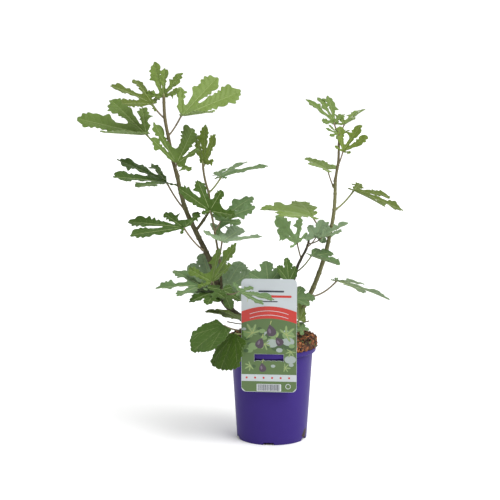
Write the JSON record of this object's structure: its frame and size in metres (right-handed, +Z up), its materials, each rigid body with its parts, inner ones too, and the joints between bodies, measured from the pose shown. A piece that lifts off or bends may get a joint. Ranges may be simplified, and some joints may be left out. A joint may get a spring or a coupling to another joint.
{
  "type": "fig tree in a pot",
  "caption": "Young fig tree with two leaning main stems and large lobed leaves, in a round nursery pot with a hang-on picture label.",
  "frame": {"origin": "centre of the pot's flat underside", "axes": "+Z up along the pot's axis; the label is on the -Y side, which is the front; the taller stem leans towards -X"},
  "size_m": [0.6285, 0.2638, 0.7215],
  "materials": {
    "pot": "semi-gloss violet moulded plastic",
    "compost": "coarse brown bark and coir",
    "label": "printed card, thin glossy plastic",
    "bark": "smooth olive-brown young bark",
    "leaf": "soft matt green leaf"
  },
  "bodies": {
    "root": {"pot": "pot", "compost": "compost", "label": "label", "trunk": "bark", "bough_left": "bark", "bough_right": "bark", "bough_middle": "bark", "bough_low": "bark", "bough_centre": "bark", "bough_inner": "bark", "foliage_left_top": "leaf", "foliage_left_outer": "leaf", "foliage_left_low": "leaf", "foliage_inner": "leaf", "foliage_centre": "leaf", "foliage_low_left": "leaf", "foliage_low_back": "leaf", "foliage_behind_label": "leaf", "foliage_base_left": "leaf", "foliage_base_right": "leaf", "foliage_back": "leaf", "foliage_right_low": "leaf", "foliage_right_reach": "leaf", "foliage_middle": "leaf", "foliage_right_inner": "leaf", "foliage_right_outer": "leaf", "foliage_right_top": "leaf"}
  },
  "joints": []
}
